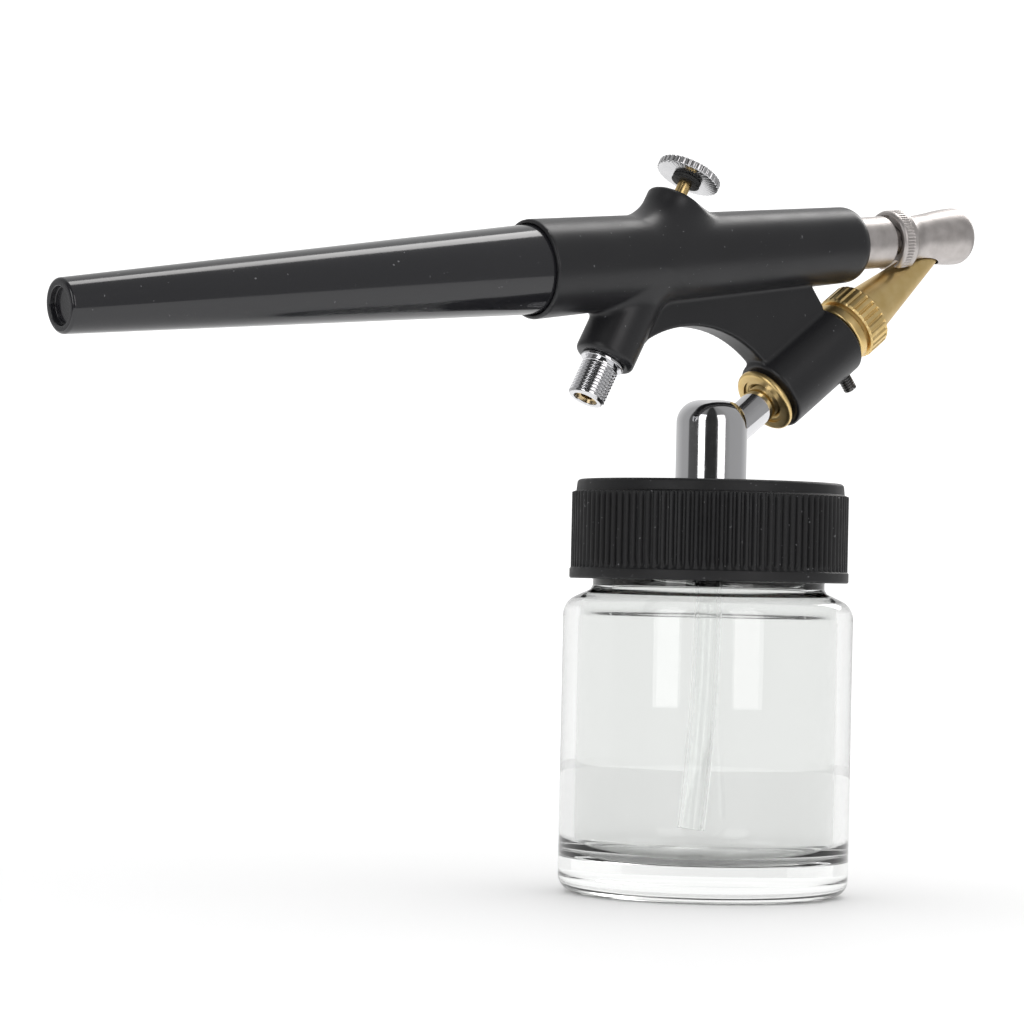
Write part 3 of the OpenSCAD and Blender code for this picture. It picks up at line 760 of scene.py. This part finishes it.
brass = turned_metal("brass", paint, (0.86, 0.65, 0.31), (0.78, 0.56, 0.23), (0.28, 0.40), 0.0025)
tube = turned("paint_tube", rounded([
    (ring_start + 0.25, paint_tube_r - 0.5, 0.1), (ring_start + 0.25, paint_tube_r, 0.08),
    (flange_start, paint_tube_r, 0), (flange_start, flange_r, 0.35), (flange_end, flange_r, 0.35),
    (flange_end, thread_r, 0), (thread_end, thread_r, 0.2), (thread_end, needle_seat_r, 0),
    (flange_end - 0.1, needle_seat_r, 0), (flange_end - 0.1, siphon_bore_r, 0),
    (siphon_seat, siphon_bore_r, 0), (siphon_seat, siphon_r + slip, 0),
    (ring_start + 0.6, siphon_r + slip, 0.1)]), paint, 160)
fit(tube, brass, "paint_line", "brass", "paint_tube")
ring = turned("socket_ring", rounded([
    (ring_start, paint_tube_r + tight, 0), (ring_start, ring_r, 0.45), (ring_end, ring_r, 0.45),
    (ring_end, paint_tube_r + tight, 0)]), paint, 160)
fit(ring, brass, "paint_line", "brass", "socket_ring")

needle_steel = turned_metal("needle_steel", paint, (0.62, 0.62, 0.63), (0.5, 0.5, 0.51), (0.14, 0.24))
dress("needle", needle_steel)
white_plastic = finish_of("white_plastic", Base_Color=(0.74, 0.72, 0.66, 1), Subsurface_Weight=0.1,
                          Subsurface_Scale=0.001)
dulled(white_plastic, paint, (1, 1, 1), 0.4, 0.55)
grained(white_plastic, paint, (0.3, 0.3, 0.3), 0.008, 2)
for washer_node in ("tip_seal", "cap_gasket"):
    dress(washer_node, white_plastic)

screw_in, screw_out, screw_pitch = 3.3, 7.2, 0.35
slot_depth, slot_r, slot_narrow, slot_long = 0.45, 0.7, 0.32, 3
black_steel = turned_metal("black_steel", clamp, (0.075, 0.075, 0.08), (0.16, 0.155, 0.15), (0.3, 0.45))
screw_outline = (
    rounded([(screw_in, 0, 0), (screw_in, screw_r, 0.12), (screw_out, screw_r, 0)])[:-1]
    + [(along, screw_r) for along in stations(screw_in + 0.2, screw_out - 0.25, screw_pitch / 7)]
    + rounded([(screw_out - 0.2, screw_r, 0), (screw_out, screw_r, 0.15), (screw_out, 0, 0)])[1:])
screw = spun("clamp_screw", screw_outline, 72)
grooved(screw, black_steel, around=1, turns_per_length=1 / screw_pitch, depth=0.12, start=screw_in + 0.2,
        end=screw_out - 0.3, fade=0.2, outside=screw_r - 0.1)
set_on(screw, clamp, 50)
slot_cut = bore(Matrix.Identity(4), screw_out - slot_depth, (slot_r, screw_out + 0.5), around=4)
slot_cut.data.transform(Matrix.Rotation(math.pi / 4, 4, "Z"))
slot_cut.data.transform(Matrix.Scale(slot_narrow, 4, (1, 0, 0)))
slot_cut.data.transform(Matrix.Scale(slot_long, 4, (0, 1, 0)))
slot_cut.data.transform(Matrix.Translation(clamp.translation * mm) @ clamp.to_3x3().to_4x4())
bored(screw, slot_cut)
soften(screw, 50)
fit(screw, black_steel, "clamp_screw", "dark_steel", "clamp_screw")

# =====================================================================================================
# Fluid tip: turned from brass, a long cone behind a collar with coarse straight ribs. It screws on the
# spigot of the paint tube, over the washer, and its mouth stands inside the mouth of the air cap, in the
# middle of the air.

collar_start, collar_r, rib_count = 27.95, 4.7, 28
rib_outline = [(along, collar_r) for along in stations(collar_start + 0.35, collar_end - 0.75, 0.16)]
tip_outline = (
    rounded([(collar_start, thread_r + slip, 0), (collar_start, collar_r - 0.28, 0.1),
             (collar_start + 0.25, collar_r, 0)])
    + rib_outline
    + rounded([(collar_end - 0.7, collar_r, 0), (collar_end - 0.55, collar_r, 0.1),
               (collar_end, collar_r - 0.7, 0.15), (collar_end, cone_r + 0.05, 0.15),
               (tip_end, mouth_r, 0.12), (tip_end, mouth_r - 0.4, 0.05),
               (thread_end + 0.2, thread_r - 0.5, 0), (thread_end + 0.2, thread_r + slip, 0)]))
tip = spun("fluid_tip", tip_outline, rib_count * 12)
grooved(tip, brass, around=rib_count, depth=0.26, width=0.6, start=collar_start + 0.1,
        end=collar_end - 0.45, fade=0.3, outside=collar_r - 0.3)
set_on(tip, paint, 40)
fit(tip, brass, "tip", "brass", "fluid_tip")

# =====================================================================================================
# Siphon: a chromed tube slants from a chromed dome into the paint tube. The dome's stem passes through
# the cap, where a nut clamps it, and takes the dip tube from below.

tube_start, tube_end = 2.6, 18.5
dome_r, dome_low, dome_top, dome_round = 4.66, 54.05, 64.7, 3.0
dome_stem_r, dome_stem_low = 2.8, 46.4
dip_r, dip_top = 1.85, 50.2
dip_seat, paint_level = dip_top + 0.05, paint.translation.z + 1.2
upright = Matrix.Identity(4)

siphon_tube = turned("siphon_tube", rounded([
    (tube_start, siphon_bore_r, 0), (tube_start, siphon_r, 0.1), (tube_end, siphon_r, 0.15),
    (tube_end, siphon_bore_r, 0)]), paint, 128)
fit(siphon_tube, chrome, "siphon", "chrome", "siphon_tube")

dome_outline = rounded([
    (dome_stem_low, dip_r + tight, 0), (dome_stem_low, dome_stem_r, 0.2), (dome_low, dome_stem_r, 0),
    (dome_low, dome_r, 0.12), (dome_top, dome_r, dome_round), (dome_top, 0, 0), (paint_level, 0, 0),
    (paint_level, siphon_bore_r, 0), (dip_seat, siphon_bore_r, 0), (dip_seat, dip_r + tight, 0)], 16)
dome = turned("siphon_dome", dome_outline, upright, 160)
tube_socket = bore(paint, tube_start - 0.05, (siphon_r + tight, dome_r + 9), around=128)
cross_way = bore(paint, 0, (siphon_bore_r, tube_start))
bored(dome, tube_socket, cross_way)
soften(dome, 40)
fit(dome, chrome, "siphon", "chrome", "siphon_dome")

nut_low, nut_high, nut_r = 49.35, 51.1, 5.2
chamfer, chamfer_h = 0.6, 0.35
nut = turned("adaptor_nut", [(nut_low, dome_stem_r + tight), (nut_low, nut_r), (nut_high, nut_r),
                             (nut_high, dome_stem_r + tight)], upright, 6)
bored(nut, turned("chamfer", [
    (nut_low - 1, 0), (nut_low - 1, nut_r + 1), (nut_low, nut_r + 1), (nut_low, nut_r - chamfer),
    (nut_low + chamfer_h, nut_r + 0.02), (nut_low + chamfer_h, nut_r + 0.5), (nut_low + 0.3, nut_r + 1.5),
    (nut_low - 1.2, nut_r + 1.5), (nut_low - 1.2, 0)], upright, 96))
fit(nut, chrome, "siphon", "chrome", "adaptor_nut")

# =====================================================================================================
# Dip tube: a length of clear plastic tube pushed into the dome's stem. It has taken a slight set from
# its coil, so it reaches the bottom of the jar off centre.

dip_bore_r, dip_low, dip_straight, dip_bend = 1.25, 8.5, 10.0, math.radians(7.7)
bend_r = (dip_top - dip_straight - dip_low) / math.sin(dip_bend)
dip_length = dip_straight + bend_r * dip_bend
dip_outline = (
    rounded([(0, dip_bore_r, 0), (0, dip_r, 0.08), (1, dip_r, 0)])[:-1]
    + [(along, dip_r) for along in stations(0.2, dip_length - 0.2, 0.8)]
    + rounded([(dip_length - 0.2, dip_r, 0), (dip_length, dip_r, 0.08), (dip_length, dip_bore_r, 0)])[1:]
    + [(along, dip_bore_r) for along in stations(dip_length - 0.2, 0.2, 0.8)])
dip_tube = spun("dip_tube", dip_outline, 72)
for vert in dip_tube.data.vertices:
    x, y, down = vert.co
    turn = max(0.0, down - dip_straight) / bend_r
    vert.co = (-bend_r + (bend_r + x) * math.cos(turn), y,
               dip_top - min(down, dip_straight) - (bend_r + x) * math.sin(turn))
set_on(dip_tube, upright, 50)
dip_tube.data.flip_normals()
clear_plastic = finish_of("clear_plastic", Base_Color=(0.985, 0.99, 0.987, 1), IOR=1.4,
                          Transmission_Weight=1.0)
dulled(clear_plastic, upright, (3, 3, 9), 0.02, 0.08, 2)
grained(clear_plastic, upright, (0.8, 0.8, 6), 0.004, 2)
fit(dip_tube, clear_plastic, "siphon", "clear_plastic", "dip_tube")

# =====================================================================================================
# Jar cap: a matt black moulding with fine straight ribs above a smooth band, and the dimple where it
# was fed in its mould. It screws on the jar over a white gasket, and the dome is clamped through it.

band_low, band_high, band_r = 41.0, 42.3, 18.3
rib_r, rib_top, cap_rib_count = 18.15, 52.4, 104
cap_top, cap_top_r, cap_roof, cap_in_r = 54.0, 17.45, 52.0, 16.45
dimple_at, dimple_depth = (-10.6, -2.0, 0), 0.18
jar_cap_outline = (
    rounded([(cap_roof, cap_in_r, 0), (band_low, cap_in_r, 0.2), (band_low, band_r, 0.25),
             (band_high, band_r, 0.15), (band_high + 0.1, rib_r, 0)])
    + [(along, rib_r) for along in stations(band_high + 0.25, rib_top - 0.1, 0.5)]
    + rounded([(rib_top, rib_r, 0), (rib_top + 0.1, cap_top_r + 0.15, 0.1), (cap_top, cap_top_r, 0.5),
               (cap_top, dome_stem_r + slip, 0), (cap_roof, dome_stem_r + slip, 0)])[1:])
jar_cap = spun("jar_cap", jar_cap_outline, cap_rib_count * 8)
matt_black = finish_of("matt_black", Specular_IOR_Level=0.36)
dulled(matt_black, upright, (3, 3, 3), 0.42, 0.56)
grained(matt_black, upright, (0.18, 0.18, 0.18), 0.006, 2)
cap_dust = spread(matt_black, noise(matt_black, upright, (0.5, 0.5, 0.5), 1), 0, 1, 0.74, 0.79)
tint(matt_black, cap_dust, (0.008, 0.008, 0.009), (0.1, 0.1, 0.105))
grooved(jar_cap, matt_black, around=cap_rib_count, depth=0.42, width=0.1, start=band_high + 0.15,
        end=rib_top + 0.02, fade=0.25, outside=cap_top_r + 0.2)
set_on(jar_cap, upright, 40)
bored(jar_cap, turned("dimple", [(cap_top - dimple_depth, 0), (cap_top - 0.12, 0.7), (cap_top + 0.5, 1.5),
                                (cap_top + 0.5, 0)], Matrix.Translation(dimple_at), 48))
soften(jar_cap, 40)
fit(jar_cap, matt_black, "cap", "cap_black", "jar_cap")

# =====================================================================================================
# Jar: pressed clear glass, slightly green, with a thick base, a soft shoulder, and one turn of thread
# moulded on its neck. The cap screws down on that thread.

jar_r, heel, jar_floor, inner_r, inner_heel = 19.0, 2.3, 4.5, 17.0, 3
shoulder_at, shoulder_round, inner_shoulder_at, inner_shoulder_round = 36.3, 2.6, 35.9, 2.7
neck_r, neck_in_r, neck_low, neck_top = 15.2, 12.8, 39.8, 51.1
jar_pitch = 4.2


def arc(along, out, radius, first, last, facets=10):
    """Points of an arc between two angles in degrees; nothing is straight out, 90 along the line."""
    angles = [math.radians(first + (last - first) * k / facets) for k in range(facets + 1)]
    return [(along + radius * math.sin(a), out + radius * math.cos(a)) for a in angles]


jar_outline = (
    [(0.5, 0), (0.48, 4), (0.4, 9), (0.2, 13.2), (0.04, 14.6), (0.0, 15.4)]
    + arc(heel, jar_r - heel, heel, -90, 0, 14)
    + arc(shoulder_at, 16.4, shoulder_round, 0, 65, 14)
    + rounded([(38.7, 17.4, 0), (neck_low - 0.2, neck_r + 0.3, 0.3), (neck_low + 0.3, neck_r, 0)])[1:]
    + [(along, neck_r) for along in stations(neck_low + 0.5, neck_top - 0.8, 0.3)]
    + arc(neck_top - 0.5, neck_r - 0.5, 0.5, 0, 90, 6)
    + arc(neck_top - 0.4, neck_in_r + 0.4, 0.4, 90, 180, 6)
    + [(38.9, neck_in_r), (38.5, neck_in_r + 0.2)]
    + arc(inner_shoulder_at, 14.3, inner_shoulder_round, 65, 0, 12)
    + arc(jar_floor + inner_heel, inner_r - inner_heel, inner_heel, 0, -90, 14)
    + [(jar_floor + 0.05, 9), (jar_floor + 0.12, 4), (jar_floor + 0.15, 0)])
jar = spun("jar", jar_outline, 256)
glass = finish_of("glass", Base_Color=(0.822, 0.83, 0.822, 1), Transmission_Weight=1.0, IOR=1.5)
dulled(glass, upright, (8, 8, 8), 0.0, 0.012, 3)
grained(glass, upright, (7, 7, 16), 0.012, 1)
grooved(jar, glass, around=1, turns_per_length=1 / jar_pitch, depth=-1.0, width=0.55,
        start=neck_low + 1.2, end=neck_top - 1.6, fade=1.2, outside=neck_r - 0.1)
set_on(jar, upright, 70)
fit(jar, glass, "jar", "glass", "jar")

# =====================================================================================================
# Studio: a pale floor, a strip light high up behind the gun, two upright softboxes by the camera, and a
# white surround. Metal and gloss plastic mirror a darker one, so that they have something to show.

floor_r, floor_gap = 320, 0.05
floor = spun("floor", [(-floor_gap, 0), (-floor_gap, floor_r)], 96)
floor.data.transform(Matrix.Scale(mm, 4))
paper = finish_of("white_paper", Roughness=0.6, Specular_IOR_Level=0.3)
tint(paper, spread(paper, noise(paper, upright, (400, 400, 400), 1), 0, 1), (0.9, 0.9, 0.9),
     (0.92, 0.92, 0.92))
floor.data.materials.append(paper)

seen = Vector((0.57358, 0.81915, 0))
eye = Vector((-0.3220, -0.4155, 0.0404))
aside, raised, rolled = math.radians(0.06), math.radians(0.99), math.radians(1.24)
camera_data = bpy.data.cameras.new("camera")
camera_data.lens, camera_data.sensor_width = 140.6, 36
camera_data.clip_start, camera_data.clip_end = 0.05, 20
camera = placed("camera", camera_data)
heading = math.atan2(seen.y, seen.x) + aside
camera.matrix_world = (
    Matrix.Translation(eye) @ Matrix.Rotation(heading - math.pi / 2, 4, "Z")
    @ Matrix.Rotation(math.pi / 2 + raised, 4, "X") @ Matrix.Rotation(rolled, 4, "Z"))
bpy.context.scene.camera = camera
to_camera = math.atan2(-seen.y, -seen.x)


def softbox(name, angle, distance, height, size, watts, colour=(1, 1, 1)):
    """A rectangular light aimed at the gun, turned in degrees from the camera's own side of it."""
    light = bpy.data.lights.new(name, "AREA")
    light.shape, light.size, light.size_y = "RECTANGLE", *size
    light.energy, light.color = watts, colour
    lamp = placed(name, light)
    turn = to_camera + math.radians(angle)
    lamp.location = (distance * math.cos(turn), distance * math.sin(turn), height)
    lamp.rotation_euler = (Vector((0, 0, 0.05)) - lamp.location).to_track_quat("-Z", "Y").to_euler()
    lamp.visible_camera = lamp.visible_diffuse = False
    return lamp


lamps = [
    softbox("left_box", -35, 0.8, 0.30, (0.32, 0.62), 1.3),
    softbox("right_box", 30, 0.8, 0.30, (0.36, 0.62), 1.2, (1, 0.97, 0.975)),
    softbox("strip", 146.5, 0.56, 0.76, (0.28, 1.2), 4.6, (1, 0.985, 0.975))]

world = bpy.data.worlds.new("surround")
bpy.context.scene.world = world
world.use_nodes = True
links = world.node_tree.links
way = add(world, "ShaderNodeTexCoord")
turned_way = add(world, "ShaderNodeMapping")
turned_way.inputs["Rotation"].default_value = (0, 0, -to_camera)
split = add(world, "ShaderNodeSeparateXYZ")
angle = add(world, "ShaderNodeMath", operation="ARCTAN2")
share = add(world, "ShaderNodeMapRange")
share.inputs["From Min"].default_value, share.inputs["From Max"].default_value = -math.pi, math.pi
ramp = add(world, "ShaderNodeValToRGB")
# How bright the mirrored surround is, by degrees round the gun from the camera's side.
levels = [(-180, 0.8), (-110, 0.42), (-84, 0.40), (-80, 0.10), (-50, 0.08), (-44, 0.25), (-26, 0.2),
          (-20, 0.03), (12, 0.03), (20, 0.25), (44, 0.3), (60, 0.38), (110, 0.4), (180, 0.8)]
white = 1.22
stops = ramp.color_ramp.elements
stops.remove(stops[1])
for degrees, level in levels[1:]:
    stops.new((degrees + 180) / 360).color = (level, level, level, 1)
stops[0].color = (levels[0][1], levels[0][1], levels[0][1], 1)
rays = add(world, "ShaderNodeLightPath")
mirrored = add(world, "ShaderNodeMath", operation="SUBTRACT", use_clamp=True)
choice = add(world, "ShaderNodeMix", data_type="RGBA")
choice.inputs[6].default_value = (white, white, white, 1)
links.new(way.outputs["Generated"], turned_way.inputs["Vector"])
links.new(turned_way.outputs["Vector"], split.inputs["Vector"])
links.new(split.outputs["Y"], angle.inputs[0])
links.new(split.outputs["X"], angle.inputs[1])
links.new(angle.outputs[0], share.inputs["Value"])
links.new(share.outputs["Result"], ramp.inputs["Fac"])
links.new(rays.outputs["Is Glossy Ray"], mirrored.inputs[0])
links.new(rays.outputs["Is Transmission Ray"], mirrored.inputs[1])
links.new(mirrored.outputs[0], choice.inputs[0])
links.new(ramp.outputs["Color"], choice.inputs[7])
links.new(choice.outputs[2], world.node_tree.nodes["Background"].inputs["Color"])
bpy.context.scene.view_settings.view_transform = "Standard"
